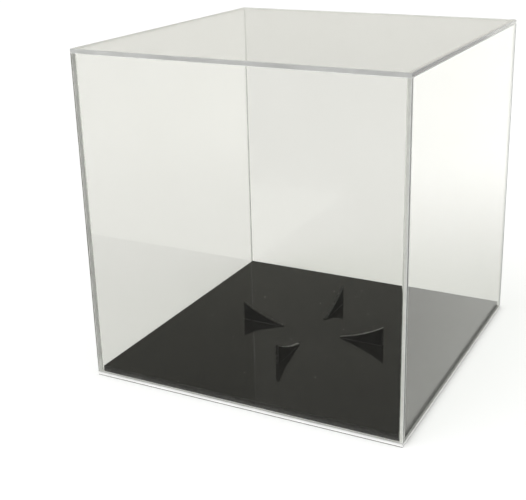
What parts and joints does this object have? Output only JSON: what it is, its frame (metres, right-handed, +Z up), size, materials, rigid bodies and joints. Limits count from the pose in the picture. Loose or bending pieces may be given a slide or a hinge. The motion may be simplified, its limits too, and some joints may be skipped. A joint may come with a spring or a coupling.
{
  "type": "ball display case",
  "caption": "Clear lift-off cube cover over a clear sole and gloss-black plate, with upright fins in a cross that cradle one round ball.",
  "frame": {"origin": "centre of the sole's underside, on the surface that the case stands on", "axes": "+Z up, the way the cover lifts off; the front wall faces -Y and the right wall +X"},
  "size_m": [0.254, 0.254, 0.257],
  "materials": {
    "clear_acrylic": "clear acrylic sheet, polished faces and edges",
    "black_acrylic": "opaque black acrylic sheet, high gloss"
  },
  "bodies": {
    "base": {"base_sole": "clear_acrylic", "base_plate": "black_acrylic", "fin_front": "black_acrylic", "fin_right": "black_acrylic", "fin_back": "black_acrylic", "fin_left": "black_acrylic"},
    "cover": {"cover_front": "clear_acrylic", "cover_back": "clear_acrylic", "cover_left": "clear_acrylic", "cover_right": "clear_acrylic", "cover_top": "clear_acrylic"}
  },
  "joints": [
    {"name": "cover_lift", "type": "slide", "parent": "base", "child": "cover", "axis": [0, 0, 1], "range_m": [0, 0.26]}
  ]
}
